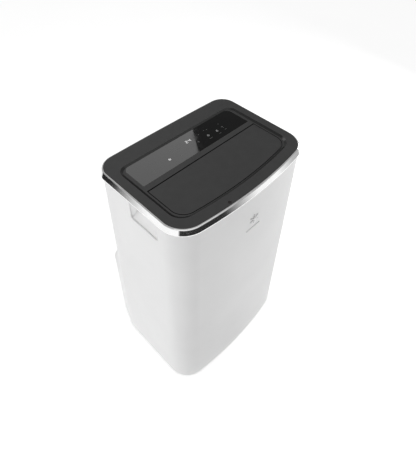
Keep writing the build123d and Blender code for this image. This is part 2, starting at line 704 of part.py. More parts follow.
# ---------------------------------------------------------------- refrigerating machine
def compressor():
    x, y = COMPRESSOR
    body = rod("Z", (x, y, 42), COMPRESSOR_R, 228)
    rims = [e for e in body.edges().filter_by(GeomType.CIRCLE)]
    body = fillet(rims, 16) - rod("Z", (x, y, 70), COMPRESSOR_R - 8, 172)
    for turn in (30, 150, 270):
        a = math.radians(turn)
        arm = Pos(x, y, 36) * Rot(0, 0, turn) * Box(95, 34, 5, align=(Align.MIN, Align.CENTER, Align.MIN))
        arm -= rod("Z", (x + 80 * math.cos(a), y + 80 * math.sin(a), 30), 8.0, 20)
        body += arm
    body += rod("Z", (x, y, 36), 40.0, 8)
    body += rod("X", (x + COMPRESSOR_R - 8, y, 70), 6.0, 10)
    body += rod("Z", (x - 20, y, 268), 6.0, 8)
    return body + block((x + 10, x + 38), (y - 14, y + 14), (262, 280))


def compressor_mounts():
    """Three rubber grommets between the base pan and the compressor's feet."""
    x, y = COMPRESSOR
    group = []
    for turn in (30, 150, 270):
        a = math.radians(turn)
        at = (x + 80 * math.cos(a), y + 80 * math.sin(a), 18)
        mount = rod("Z", at, 11.0, 18) + rod("Z", at, 8.0, 23) + rod("Z", (at[0], at[1], 41), 11.0, 4)
        group.append(mount - rod("Z", at, 3.2, 40))
    return group[0] + group[1] + group[2]


def accumulator():
    x, y = ACCUMULATOR
    body = rod("Z", (x, y, 95), 24.0, 150)
    rims = [e for e in body.edges().filter_by(GeomType.CIRCLE)]
    body = fillet(rims, 12)
    return body + rod("Z", (x, y, 89), 6.0, 162)


def bent_tube(points, bend, radius, bore):
    """Tube along straight runs with round bends."""
    path = FilletPolyline(*points, radius=bend)
    start = path @ 0
    plane = Plane(origin=start, z_dir=path % 0)
    return sweep(plane * Circle(radius), path=path) - sweep(plane * Circle(bore), path=path)


def copper_pipes():
    cx, cy = COMPRESSOR
    ax, ay = ACCUMULATOR
    discharge = [(cx - 20, cy, 276), (cx - 20, cy, 318), (cx - 20, 156, 318), (cx - 20, 156, 300)]
    liquid = [(-40, 156, 300), (-40, 156, 340), (-40, 96, 340), (-40, 96, 412)]
    suction = [(ax, 96, 412), (ax, 96, 355), (ax, ay, 355), (ax, ay, 251)]
    inlet = [(ax, ay, 89), (ax, ay, 70), (ax, cy, 70), (cx + COMPRESSOR_R + 2, cy, 70)]
    runs = [bent_tube(discharge, 8, 4.0, 3.0), bent_tube(liquid, 12, 3.0, 2.2)]
    runs += [bent_tube(suction, 14, 5.0, 4.0), bent_tube(inlet, 8, 5.0, 4.0)]
    return runs[0] + runs[1] + runs[2] + runs[3]


def coil(x, y, z, rows):
    """Finned heat exchanger: core, end plates and return bends."""
    core = block((x[0] + 8, x[1] - 8), y, (z[0] + 2, z[1]))
    pitch, gap, web = 12.0, 8.0, 6.0
    mid_y = (y[0] + y[1]) / 2
    slots = []
    for i in range(int((x[1] - x[0] - 24) / pitch)):
        gx = x[0] + 12 + pitch * i
        slots.append(block((gx, gx + gap), (y[0] - 1, mid_y - web / 2), (z[0] + 12, z[1] - 12)))
        slots.append(block((gx, gx + gap), (mid_y + web / 2, y[1] + 1), (z[0] + 12, z[1] - 12)))
    core -= slots
    plates = block((x[0] + 6, x[0] + 8), y, z) + block((x[1] - 8, x[1] - 6), y, z)
    step = (z[1] - z[0] - 30) / rows
    bends = []
    for i in range(rows):
        bz = z[0] + 15 + step * (i + 0.5)
        for bx in (x[0], x[1] - 6):
            bends.append(block((bx, bx + 6), (y[0] + 6, y[1] - 6), (bz - 4, bz + 4)))
    return core + plates + bends


def evaporator():
    return coil((-178, 178), (80, 112), (410, 660), 8)


def condenser():
    return coil((-188, -6), (140, 172), (68, 300), 8)


def divider_tray():
    """Floor between the compartments with the drip tray and the upper drain spout."""
    tray = extrude(case_plan(TRAY_Z, WALL + 1.0), 3)
    tray -= block((-300, 300), (120, 300), (380, 420))
    wall = block((-190, 190), (74, 119), (TRAY_Z + 3, 404)) - block((-188, 188), (76, 117), (TRAY_Z + 3, 410))
    tray += wall
    tray -= rod("Z", (-40, 96, 370), 4.0, 40)
    tray -= rod("Z", (ACCUMULATOR[0], 96, 370), 6.0, 40)
    for x in (-178, 172):
        tray += block((x, x + 6), (84, 108), (TRAY_Z + 3, 410))
    tray += rod("Y", (UPPER_DRAIN[0], 117, UPPER_DRAIN[1]), 8.0, 21)
    return tray - rod("Y", (UPPER_DRAIN[0], 110, UPPER_DRAIN[1]), UPPER_PLUG_R + FIT, 40)


def splash_motor():
    y, z = SPLASH
    return rod("X", (-108, y, z), 20.0, 34) + rod("X", (-74, y, z), 3.0, 18) + block((-104, -80), (85, 105), (18, 34))


def splash_wheel():
    y, z = SPLASH
    wheel = rod("X", (-70, y, z), 26.0, 2.0) + rod("X", (-70, y, z), 8.0, 10)
    for i in range(10):
        paddle = Pos(20, 0, 0) * Box(10, 1.5, 9, align=BASE)
        wheel += Pos(-70, y, z) * Rot(0, 90, 0) * Rot(0, 0, 36 * i) * paddle
    return wheel - rod("X", (-71, y, z), 3.0 + FIT, 13)


def electrical_box():
    """Metal box with the main board and the run capacitor."""
    box = block((46, 166), (-164, -122), (84, 296)) - block((48, 164), (-162, -122), (86, 294))
    box += block((52, 160), (-158, -156), (92, 288)) + block((60, 90), (-162, -158), (120, 150))
    box += block((110, 140), (-162, -158), (220, 250))
    return box + rod("Z", (140, -140, 86), 14.0, 70)


# ---------------------------------------------------------------- casters
def caster_fork(x, y):
    """Swivel fork: stem, crown and two legs that trail behind the stem."""
    fork = rod("Z", (x, y, 54), 15.0, 6) + rod("Z", (x, y, 58), STEM_R, 19.5)
    for side in (-1, 1):
        inner, outer = WHEEL_W / 2 + 1.0, WHEEL_W / 2 + 3.5
        xs = sorted((x + side * inner, x + side * outer))
        leg = block(xs, (y - 6, y + TRAIL + 7), (44, 60))
        leg += block(xs, (y + TRAIL - 7, y + TRAIL + 7), (WHEEL_R, 46))
        leg += rod("X", (xs[0], y + TRAIL, WHEEL_R), 7.0, 2.5)
        leg -= rod("X", (xs[0] - 1, y + TRAIL, WHEEL_R), AXLE_R, 5)
        fork += leg
    fork += block((x - 11, x + 11), (y - 6, y + TRAIL + 7), (54, 60))
    return fork


def caster_wheel(x, y):
    centre = y + TRAIL
    wheel = rod("X", (x - WHEEL_W / 2, centre, WHEEL_R), WHEEL_R, WHEEL_W)
    rims = [e for e in wheel.edges().filter_by(GeomType.CIRCLE)]
    wheel = fillet(rims, 3)
    for start in (x - WHEEL_W / 2 - 1, x + WHEEL_W / 2 - 4):
        wheel -= pipe("X", (start, centre, WHEEL_R), 14.0, 6.5, 5)
    return wheel - rod("X", (x - 20, centre, WHEEL_R), AXLE_R + FIT, 40)


def caster_axle(x, y):
    return rod("X", (x - WHEEL_W / 2 - 4.2, y + TRAIL, WHEEL_R), AXLE_R, WHEEL_W + 8.4)


# ---------------------------------------------------------------- all nodes
def build():
    outer, skin = case_skin()
    nodes = {
        "base_pan": base_pan(),
        "front_shell": front_shell(skin),
        "rear_shell": rear_shell(skin),
        "top_deck": top_deck(),
        "chrome_ring": chrome_ring(),
        "control_glass": control_glass(),
        "control_board": control_board(),
        "ir_lens": ir_lens(),
        "front_emblem": front_emblem(outer),
        "handle_left": handle_cup(-1),
        "handle_right": handle_cup(1),
        "upper_cover": upper_cover(skin),
        "upper_filter": upper_filter(),
        "lower_grille": lower_grille(),
        "grille_screws": grille_screws(),
        "lower_filter": lower_filter(),
        "exhaust_collar": exhaust_collar(),
        "cord_gland": cord_gland(),
        "lower_drain_plug": lower_drain_plug(),
        "upper_drain_plug": upper_drain_plug(),
        "outlet_throat": outlet_throat(),
        "outlet_flap": outlet_flap(),
        "flap_motor": flap_motor(),
        "flap_rotor": flap_rotor(),
        "flap_pinion": flap_pinion(),
        "vane_link": vane_link(),
        "vane_motor": vane_motor(),
        "evap_scroll": evap_scroll(),
        "evap_motor": evap_motor(),
        "evap_wheel": evap_wheel(),
        "cond_scroll": cond_scroll(),
        "cond_motor": cond_motor(),
        "cond_wheel": cond_wheel(),
        "compressor": compressor(),
        "compressor_mounts": compressor_mounts(),
        "accumulator": accumulator(),
        "copper_pipes": copper_pipes(),
        "evaporator": evaporator(),
        "condenser": condenser(),
        "divider_tray": divider_tray(),
        "splash_motor": splash_motor(),
        "splash_wheel": splash_wheel(),
        "electrical_box": electrical_box(),
    }
    for number, x in enumerate(VANE_XS, 1):
        nodes[f"vane_{number}"] = vane(x)
    corners = [(x, y) for y in CASTER_YS for x in (-CASTER_X, CASTER_X)]
    names = ("front_left", "front_right", "rear_left", "rear_right")
    for name, (x, y) in zip(names, corners):
        nodes[f"caster_fork_{name}"] = caster_fork(x, y)
        nodes[f"caster_wheel_{name}"] = caster_wheel(x, y)
        nodes[f"caster_axle_{name}"] = caster_axle(x, y)
    return nodes


os.makedirs("parts", exist_ok=True)
for node_name, shape in build().items():
    export_step(shape, f"parts/{node_name}.step")
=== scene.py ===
"""Looks of the portable air conditioner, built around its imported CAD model.  Metres, row frame."""
import json
import math

import bmesh
import bpy
from mathutils import Matrix, Vector


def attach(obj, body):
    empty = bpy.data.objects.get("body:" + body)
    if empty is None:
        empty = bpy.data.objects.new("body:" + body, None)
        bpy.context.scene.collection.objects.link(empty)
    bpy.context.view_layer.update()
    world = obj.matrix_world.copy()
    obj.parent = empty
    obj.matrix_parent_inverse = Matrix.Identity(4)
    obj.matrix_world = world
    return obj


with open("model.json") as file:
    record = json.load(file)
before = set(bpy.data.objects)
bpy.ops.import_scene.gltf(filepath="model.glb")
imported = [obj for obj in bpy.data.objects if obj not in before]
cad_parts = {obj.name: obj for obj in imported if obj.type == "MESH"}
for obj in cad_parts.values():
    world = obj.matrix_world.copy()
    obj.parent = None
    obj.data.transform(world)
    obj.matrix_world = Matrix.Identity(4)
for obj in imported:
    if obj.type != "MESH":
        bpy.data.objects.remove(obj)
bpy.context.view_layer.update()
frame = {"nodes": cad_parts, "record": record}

MM = 0.001

GLASS_Z = 727.0        # mm, top of the touch glass, the flap and the strip
PRINT_LIFT = 0.03      # mm, thickness of the marks on the glass
WHITE = (1.0, 1.0, 1.0, 1.0)

SLOT_OF = {entry["node"]: entry["material_slot"] for entry in frame["record"]["subparts"]}


# ---------------------------------------------------------------- materials
class Finish:
    """A node-based material; its textures follow the object's own coordinates, in metres."""

    def __init__(self, name, color, roughness, metallic=0.0, ior=1.5):
        self.mat = bpy.data.materials.new(name)
        self.mat.use_nodes = True
        self.tree = self.mat.node_tree
        self.surface = self.tree.nodes["Principled BSDF"]
        self.surface.inputs["Base Color"].default_value = (*color, 1.0)
        self.surface.inputs["Roughness"].default_value = roughness
        self.surface.inputs["Metallic"].default_value = metallic
        self.surface.inputs["IOR"].default_value = ior
        self.place = self.tree.nodes.new("ShaderNodeTexCoord").outputs["Object"]
        self.normal = None

    def node(self, kind, **values):
        made = self.tree.nodes.new(kind)
        for key, value in values.items():
            setattr(made, key, value)
        return made

    def link(self, out, into):
        self.tree.links.new(out, into)

    def stretched(self, scale):
        """Coordinates multiplied by a scale per axis."""
        made = self.node("ShaderNodeMapping")
        made.inputs["Scale"].default_value = scale
        self.link(self.place, made.inputs["Vector"])
        return made.outputs["Vector"]

    def noise(self, scale, detail=3.0, stretch=None):
        made = self.node("ShaderNodeTexNoise")
        made.inputs["Scale"].default_value = scale
        made.inputs["Detail"].default_value = detail
        where = self.stretched(stretch) if stretch else self.place
        self.link(where, made.inputs["Vector"])
        return made.outputs["Fac"]

    def spread(self, fac, low, high, start=0.35, end=0.65):
        """Maps a texture's value onto a range."""
        made = self.node("ShaderNodeMapRange")
        made.inputs["From Min"].default_value = start
        made.inputs["From Max"].default_value = end
        made.inputs["To Min"].default_value = low
        made.inputs["To Max"].default_value = high
        self.link(fac, made.inputs["Value"])
        return made.outputs["Result"]

    def tint(self, fac, first, second, start=0.35, end=0.65):
        """Colour that runs from first to second with a texture's value."""
        made = self.node("ShaderNodeValToRGB")
        made.color_ramp.elements[0].position = start
        made.color_ramp.elements[0].color = (*first, 1.0)
        made.color_ramp.elements[1].position = end
        made.color_ramp.elements[1].color = (*second, 1.0)
        self.link(fac, made.inputs["Fac"])
        self.link(made.outputs["Color"], self.surface.inputs["Base Color"])

    def rough(self, fac, low, high):
        self.link(self.spread(fac, low, high), self.surface.inputs["Roughness"])

    def bump(self, height, depth):
        """Raises the surface by a texture; depth is in metres."""
        made = self.node("ShaderNodeBump")
        made.inputs["Distance"].default_value = depth
        self.link(height, made.inputs["Height"])
        if self.normal:
            self.link(self.normal, made.inputs["Normal"])
        self.normal = made.outputs["Normal"]
        self.link(self.normal, self.surface.inputs["Normal"])

    def glow(self, strength):
        self.surface.inputs["Emission Color"].default_value = WHITE
        self.surface.inputs["Emission Strength"].default_value = strength


def grey(level):
    return (level, level, level)


def case_white():
    """Low-gloss moulded case: faint cloudiness, orange peel and fine grain."""
    f = Finish("case_white", grey(0.83), 0.34)
    f.tint(f.noise(7.0), grey(0.815), grey(0.84))
    f.rough(f.noise(60.0, 4.0), 0.30, 0.38)
    f.bump(f.noise(260.0, 2.0), 0.00004)
    f.bump(f.noise(2400.0, 2.0), 0.000015)
    return f.mat


def pocket_white_painted_light():
    """Finger pockets: thin white plastic, painted brighter than the case and given a faint glow:
    painted light that keeps their shaded inside light.
    """
    # painted light: a brighter white than case_white, so the pockets' shaded inside stays light
    f = Finish("pocket_white_painted_light", grey(0.90), 0.42)
    f.tint(f.noise(9.0), grey(0.885), grey(0.91))
    f.rough(f.noise(60.0, 4.0), 0.38, 0.46)
    f.bump(f.noise(260.0, 2.0), 0.00004)
    # painted light: a faint glow where the pockets' inside lies in shade
    f.glow(0.06)
    return f.mat


def level_mask(f):
    """1 on faces that lie level in the piece's own space, 0 on sloping and standing ones.

    The piece's own space turns with it, so the flap keeps its finish when it opens."""
    own = f.node("ShaderNodeVectorTransform", vector_type="NORMAL", convert_from="WORLD",
                 convert_to="OBJECT")
    f.link(f.node("ShaderNodeNewGeometry").outputs["True Normal"], own.inputs["Vector"])
    facing = f.node("ShaderNodeSeparateXYZ")
    f.link(own.outputs["Vector"], facing.inputs[0])
    return f.spread(facing.outputs["Z"], 0.0, 1.0, 0.95, 0.985)


def deck_grey():
    """Dark deck: level faces satin with a fine spark-eroded grain, the others polished and painted
    darker, as painted shade on the recess walls and in the gaps.
    """
    level_shade, grain_shade, polish = 0.031, 0.005, 0.14
    f = Finish("deck_grey", grey(0.027), 0.5)
    # mask for the polish and for the painted shade on the sloping and standing faces
    flat = level_mask(f)
    shade = f.node("ShaderNodeMath", operation="MULTIPLY_ADD")
    f.link(f.spread(f.noise(45.0, 5.0), 0.0, 1.0), shade.inputs[0])
    shade.inputs[1].default_value = grain_shade
    shade.inputs[2].default_value = level_shade
    # painted shade: sloping and standing faces get a fifth of the level faces' colour, so the recess
    # walls and gaps look shadowed
    albedo_with_painted_shade = f.node("ShaderNodeMath", operation="MULTIPLY")
    f.link(shade.outputs[0], albedo_with_painted_shade.inputs[0])
    f.link(f.spread(flat, 0.2, 1.0, 0.0, 1.0), albedo_with_painted_shade.inputs[1])
    mono = f.node("ShaderNodeCombineColor")
    for channel in ("Red", "Green", "Blue"):
        f.link(albedo_with_painted_shade.outputs[0], mono.inputs[channel])
    f.link(mono.outputs["Color"], f.surface.inputs["Base Color"])
    gloss = f.node("ShaderNodeMix", data_type="FLOAT")
    f.link(flat, gloss.inputs["Factor"])
    gloss.inputs["A"].default_value = polish
    f.link(f.spread(f.noise(900.0, 3.0), 0.46, 0.60), gloss.inputs["B"])
    f.link(gloss.outputs["Result"], f.surface.inputs["Roughness"])
    f.bump(f.noise(1700.0, 3.0), 0.00006)
    return f.mat


def ring_chrome():
    """Plated ring with faint handling marks."""
    f = Finish("ring_chrome", grey(0.86), 0.07, metallic=1.0)
    f.tint(f.noise(25.0), grey(0.84), grey(0.88))
    f.rough(f.noise(140.0, 5.0), 0.05, 0.11)
    f.bump(f.noise(70.0, 1.0), 0.00001)
    return f.mat


def emblem_satin():
    """Emblem: satin grey plating."""
    f = Finish("emblem_satin", grey(0.62), 0.38, metallic=1.0)
    f.tint(f.noise(300.0, 4.0), grey(0.58), grey(0.66))
    f.rough(f.noise(500.0), 0.34, 0.44)
    f.bump(f.noise(900.0), 0.00001)
    return f.mat


def touch_glass():
    """Black-backed glass with faint smears."""
    f = Finish("touch_glass", grey(0.004), 0.04, ior=1.52)
    f.tint(f.noise(30.0), grey(0.0035), grey(0.005))
    f.rough(f.noise(55.0, 6.0), 0.03, 0.07)
    return f.mat


def lens_black():
    f = Finish("lens_black", (0.012, 0.006, 0.007), 0.08)
    f.tint(f.noise(500.0), (0.010, 0.005, 0.006), (0.016, 0.008, 0.009))
    f.rough(f.noise(600.0), 0.06, 0.12)
    return f.mat


def board_green():
    """Circuit board: solder mask with tracks and pads."""
    f = Finish("board_green", (0.02, 0.10, 0.04), 0.35)
    tracks = f.node("ShaderNodeTexBrick")
    tracks.inputs["Scale"].default_value = 160.0
    tracks.inputs["Mortar Size"].default_value = 0.03
    tracks.inputs["Color1"].default_value = (0.015, 0.09, 0.035, 1)
    tracks.inputs["Color2"].default_value = (0.02, 0.12, 0.05, 1)
    tracks.inputs["Mortar"].default_value = (0.06, 0.22, 0.09, 1)
    f.link(f.place, tracks.inputs["Vector"])
    f.link(tracks.outputs["Color"], f.surface.inputs["Base Color"])
    f.bump(tracks.outputs["Fac"], 0.00003)
    return f.mat


def duct_black():
    f = Finish("duct_black", grey(0.022), 0.5)
    f.tint(f.noise(80.0, 4.0), grey(0.019), grey(0.026))
    f.rough(f.noise(700.0), 0.42, 0.58)
    f.bump(f.noise(1500.0, 2.0), 0.00004)
    return f.mat


def pan_grey():
    f = Finish("pan_grey", grey(0.16), 0.5)
    f.tint(f.noise(60.0, 5.0), grey(0.14), grey(0.175))
    f.rough(f.noise(400.0), 0.45, 0.62)
    f.bump(f.noise(1200.0, 3.0), 0.00006)
    return f.mat


def blower_grey():
    f = Finish("blower_grey", grey(0.52), 0.45)
    f.tint(f.noise(40.0, 4.0), grey(0.49), grey(0.55))
    f.rough(f.noise(500.0), 0.40, 0.52)
    f.bump(f.noise(1300.0), 0.00004)
    return f.mat


def collar_grey():
    f = Finish("collar_grey", grey(0.68), 0.42)
    f.tint(f.noise(30.0, 4.0), grey(0.66), grey(0.71))
    f.rough(f.noise(500.0), 0.36, 0.46)
    f.bump(f.noise(1600.0), 0.00004)
    return f.mat


def motor_zinc():
    """Zinc-plated sheet with spangle."""
    f = Finish("motor_zinc", (0.55, 0.56, 0.58), 0.4, metallic=0.9)
    spangle = f.node("ShaderNodeTexVoronoi")
    spangle.inputs["Scale"].default_value = 120.0
    f.link(f.place, spangle.inputs["Vector"])
    f.tint(spangle.outputs["Distance"], (0.50, 0.51, 0.53), (0.62, 0.63, 0.65), 0.1, 0.8)
    f.rough(f.noise(300.0, 4.0), 0.32, 0.50)
    f.bump(f.noise(900.0), 0.00002)
    return f.mat


def small_motor():
    f = Finish("small_motor", grey(0.55), 0.35, metallic=0.9)
    f.tint(f.noise(300.0, 3.0, stretch=(1, 12, 1)), grey(0.50), grey(0.60))
    f.rough(f.noise(500.0), 0.28, 0.42)
    f.bump(f.noise(900.0), 0.00002)
    return f.mat


def gear_nylon():
    f = Finish("gear_nylon", (0.78, 0.75, 0.66), 0.4)
    f.tint(f.noise(300.0), (0.75, 0.72, 0.63), (0.81, 0.78, 0.70))
    f.rough(f.noise(600.0), 0.34, 0.46)
    f.bump(f.noise(1500.0), 0.00003)
    return f.mat


def compressor_black():
    """Black enamel on a pressed steel shell."""
    f = Finish("compressor_black", grey(0.014), 0.28)
    f.tint(f.noise(30.0, 5.0), grey(0.011), grey(0.02))
    f.rough(f.noise(120.0, 5.0), 0.22, 0.36)
    f.bump(f.noise(350.0, 2.0), 0.00005)
    return f.mat


def copper():
    f = Finish("copper", (0.80, 0.38, 0.24), 0.28, metallic=1.0)
    f.tint(f.noise(90.0, 6.0), (0.62, 0.27, 0.17), (0.86, 0.44, 0.29))
    f.rough(f.noise(200.0, 4.0), 0.20, 0.42)
    f.bump(f.noise(800.0), 0.00002)
    return f.mat


def fin_aluminium():
    """Pressed fins, closely pitched along X."""
    f = Finish("fin_aluminium", grey(0.76), 0.36, metallic=1.0)
    fins = f.node("ShaderNodeTexWave")
    fins.bands_direction = "X"
    fins.inputs["Scale"].default_value = 95.0
    f.link(f.place, fins.inputs["Vector"])
    f.tint(fins.outputs["Fac"], grey(0.40), grey(0.82), 0.2, 0.8)
    f.rough(f.noise(200.0, 4.0), 0.30, 0.45)
    f.bump(fins.outputs["Fac"], 0.0003)
    return f.mat


def filter_mesh():
    """Woven dust screen."""
    f = Finish("filter_mesh", grey(0.08), 0.6)
    weave = f.node("ShaderNodeTexWave")
    weave.bands_direction = "DIAGONAL"
    weave.inputs["Scale"].default_value = 260.0
    f.link(f.place, weave.inputs["Vector"])
    f.tint(weave.outputs["Fac"], grey(0.05), grey(0.13))
    f.rough(f.noise(500.0), 0.50, 0.70)
    f.bump(weave.outputs["Fac"], 0.00015)
    return f.mat


def soft_black():
    f = Finish("soft_black", grey(0.022), 0.72)
    f.tint(f.noise(120.0, 5.0), grey(0.018), grey(0.030))
    f.rough(f.noise(500.0, 4.0), 0.62, 0.82)
    f.bump(f.noise(1400.0, 3.0), 0.00006)
    return f.mat


def screw_steel():
    f = Finish("screw_steel", grey(0.58), 0.3, metallic=1.0)
    f.tint(f.noise(500.0, 3.0, stretch=(8, 1, 8)), grey(0.50), grey(0.66))
    f.rough(f.noise(700.0), 0.22, 0.38)
    f.bump(f.noise(1200.0), 0.00002)
    return f.mat


def caster_black():
    f = Finish("caster_black", grey(0.024), 0.42)
    f.tint(f.noise(90.0, 5.0), grey(0.020), grey(0.032))
    f.rough(f.noise(400.0, 4.0), 0.36, 0.52)
    f.bump(f.noise(1500.0, 3.0), 0.00005)
    return f.mat


def caster_tread():
    """Nylon wheel, slightly scuffed where it rolls."""
    f = Finish("caster_tread", grey(0.055), 0.5)
    f.tint(f.noise(220.0, 6.0), grey(0.045), grey(0.075))
    f.rough(f.noise(350.0, 5.0), 0.40, 0.68)
    f.bump(f.noise(900.0, 4.0), 0.00008)
    return f.mat


def mark(name, level, glow):
    """Printed and back-lit marks in the glass."""
    f = Finish(name, grey(level), 0.5)
    f.tint(f.noise(2500.0, 2.0), grey(level * 0.9), grey(level * 1.1))
    f.glow(glow)
    return f.mat


MATERIALS = {
    "case_white": case_white(), "deck_grey": deck_grey(), "ring_chrome": ring_chrome(),
    "touch_glass": touch_glass(), "lens_black": lens_black(), "board_green": board_green(),
    "duct_black": duct_black(), "pan_grey": pan_grey(), "blower_grey": blower_grey(),
    "collar_grey": collar_grey(), "motor_zinc": motor_zinc(), "small_motor": small_motor(),
    "gear_nylon": gear_nylon(), "compressor_black": compressor_black(), "copper": copper(),
    "fin_aluminium": fin_aluminium(), "filter_mesh": filter_mesh(), "soft_black": soft_black(),
    "screw_steel": screw_steel(), "caster_black": caster_black(), "caster_tread": caster_tread(),
}


# ---------------------------------------------------------------- CAD nodes that stay
def wear(piece, slot):
    piece.data.materials.clear()
    piece.data.materials.append(MATERIALS[slot])


def soften(piece, width):
    """Rounds the sharp edges of a CAD node with modifiers; its own mesh stays as it is."""
    weld = piece.modifiers.new("weld", "WELD")
    weld.merge_threshold = 0.00001
    flat = piece.modifiers.new("flat", "DECIMATE")
    flat.decimate_type = "DISSOLVE"
    flat.angle_limit = math.radians(0.6)
    edge = piece.modifiers.new("edge", "BEVEL")
    edge.width = width
    edge.segments = 3
    edge.limit_method = "ANGLE"
    edge.angle_limit = math.radians(35)
    weighted = piece.modifiers.new("weighted", "WEIGHTED_NORMAL")
    weighted.keep_sharp = True


for node_name, piece in frame["nodes"].items():
    wear(piece, SLOT_OF[node_name])
# the finger pockets get a copy of the case white with painted light
POCKET = pocket_white_painted_light()
for side in ("handle_left", "handle_right"):
    frame["nodes"][side].data.materials[0] = POCKET
frame["nodes"]["front_emblem"].data.materials[0] = emblem_satin()

soften(frame["nodes"]["top_deck"], 0.6 * MM)
soften(frame["nodes"]["outlet_flap"], 0.5 * MM)


# ---------------------------------------------------------------- marks in the touch glass
LIT = mark("mark_lit", 0.5, 0.5)
PRINT = mark("mark_print", 0.25, 0.12)
FAINT = mark("mark_faint", 0.11, 0.025)


def on_circle(at, radius, angle):
    """Point of a circle around a plan position; the angle is in radians."""
    return (at[0] + radius * math.cos(angle), at[1] + radius * math.sin(angle))


def add_piece(name, mesh, mat):
    mesh.materials.append(mat)
    piece = bpy.data.objects.new(name, mesh)
    bpy.context.scene.collection.objects.link(piece)
    return piece


class Marks:
    """Thin flat marks on the glass, gathered into one piece; plan positions in mm."""

    def __init__(self, name, mat):
        self.name, self.mat = name, mat
        self.mesh = bmesh.new()

    def prism(self, outline):
        def layer(height):
            return [self.mesh.verts.new((x * MM, y * MM, height * MM)) for x, y in outline]

        low, top = layer(GLASS_Z), layer(GLASS_Z + PRINT_LIFT)
        count = len(outline)
        self.mesh.faces.new(top)
        self.mesh.faces.new(low[::-1])
        for k in range(count):
            after = (k + 1) % count
            self.mesh.faces.new((low[k], low[after], top[after], top[k]))

    def bar(self, start, end, width):
        along = Vector((end[0] - start[0], end[1] - start[1])).normalized()
        side = Vector((-along.y, along.x)) * width / 2
        a, b = Vector(start), Vector(end)
        self.prism([tuple(b + side), tuple(a + side), tuple(a - side), tuple(b - side)])

    def dot(self, at, radius):
        sides = 20
        self.prism([on_circle(at, radius, math.tau * k / sides) for k in range(sides)])

    def arc(self, at, radius, width, start, end, steps=18):
        """Part of a ring between two angles in degrees."""
        inner, outer = radius - width / 2, radius + width / 2
        turn = [math.radians(start + (end - start) * k / steps) for k in range(steps + 1)]
        for first, second in zip(turn, turn[1:]):
            corners = ((inner, first), (outer, first), (outer, second), (inner, second))
            self.prism([on_circle(at, r, t) for r, t in corners])

    def finish(self):
        mesh = bpy.data.meshes.new(self.name)
        self.mesh.to_mesh(mesh)
        self.mesh.free()
        piece = add_piece(self.name, mesh, self.mat)
        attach(piece, "cabinet")


SEGMENTS = {  # strokes of a seven-segment digit on a unit cell
    "top": ((0, 1), (1, 1)), "middle": ((0, 0.5), (1, 0.5)), "foot": ((0, 0), (1, 0)),
    "upper_left": ((0, 0.5), (0, 1)), "upper_right": ((1, 0.5), (1, 1)),
    "lower_left": ((0, 0), (0, 0.5)), "lower_right": ((1, 0), (1, 0.5)),
}
DIGIT_TWO = ("top", "upper_right", "middle", "lower_left", "foot")
DIGIT_FOUR = ("upper_left", "upper_right", "middle", "lower_right")


def digit(marks, corner, size, names):
    gap, stroke = 0.35, 1.5
    for name in names:
        (ax, ay), (bx, by) = SEGMENTS[name]
        start = Vector((corner[0] + ax * size[0], corner[1] + ay * size[1]))
        end = Vector((corner[0] + bx * size[0], corner[1] + by * size[1]))
        short = (end - start).normalized() * gap
        marks.bar(tuple(start + short), tuple(end - short), stroke)


def control_marks():
    lit = Marks("marks_lit", LIT)
    digit(lit, (-4.2, 41.2), (5.0, 8.0), DIGIT_TWO)
    digit(lit, (5.4, 41.2), (4.6, 8.0), DIGIT_FOUR)
    lit.arc((-73.5, 25.5), 2.6, 1.2, 120, 420)         # ring with a stroke
    lit.bar((-73.5, 25.5), (-73.5, 29.2), 1.2)
    lit.dot((-73.5, 25.5), 0.9)
    lit.finish()

    soft = Marks("marks_soft", PRINT)
    hub = (55.5, 27.5)                                 # fan
    for turn in (90, 210, 330):
        blade = on_circle(hub, 1.6, math.radians(turn))
        soft.arc(blade, 1.5, 1.1, turn - 110, turn + 110, 10)
    soft.dot(hub, 0.8)
    soft.arc((85.5, 25.5), 2.6, 1.5, 40, 320)          # crescent
    soft.arc((86.6, 25.5), 1.6, 1.0, 60, 300)
    soft.finish()

    faint = Marks("marks_faint", FAINT)
    faint.arc((-125.0, 22.5), 2.6, 0.9, 0, 360, 24)    # clock
    faint.bar((-125.0, 22.5), (-125.0, 24.4), 0.8)
    faint.bar((-125.0, 22.5), (-123.6, 22.5), 0.8)
    faint.arc((-100.0, 26.0), 2.6, 0.9, 0, 360, 24)    # circle with a dot
    faint.dot((-100.0, 26.0), 1.0)
    faint.bar((-46.5, 27.0), (-40.5, 27.0), 1.3)       # less
    faint.bar((17.5, 26.5), (23.5, 26.5), 1.3)         # more
    faint.bar((20.5, 27.2), (20.5, 29.5), 1.3)
    faint.bar((20.5, 25.8), (20.5, 23.5), 1.3)
    faint.bar((106.5, 22.8), (106.5, 30.0), 1.0)       # arrow
    faint.bar((104.4, 27.6), (106.3, 30.2), 1.0)
    faint.bar((108.6, 27.6), (106.7, 30.2), 1.0)
    underlines = ((-125.0, 2.5, 14.5), (-43.5, 2.5, 18.0), (53.5, 5.0, 15.5), (84.5, 3.2, 13.5),
                  (106.5, 3.0, 15.5))
    for x, half, y in underlines:
        faint.bar((x - half, y), (x + half, y), 1.0)
    for row, y in enumerate((49.5, 43.5, 38.0)):       # rows of plain dashes by the display
        for k in range(5):
            x = -54.0 + 7.5 * k + 1.5 * row
            faint.bar((x, y), (x + 4.5, y), 0.9)
    lamps = ((-125.0, 45.4), (-63.5, 47.0), (39.5, 46.4), (60.5, 49.5), (69.0, 47.5), (107.5, 43.5))
    for lamp in lamps:
        faint.dot(lamp, 1.1)
    faint.finish()


control_marks()


# ---------------------------------------------------------------- camera
CAMERA_AT = (-0.50768, -0.508596, 1.337321)
AZIMUTH, ELEVATION, ROLL = (math.radians(a) for a in (-47.5895, 43.9127, 2.5416))


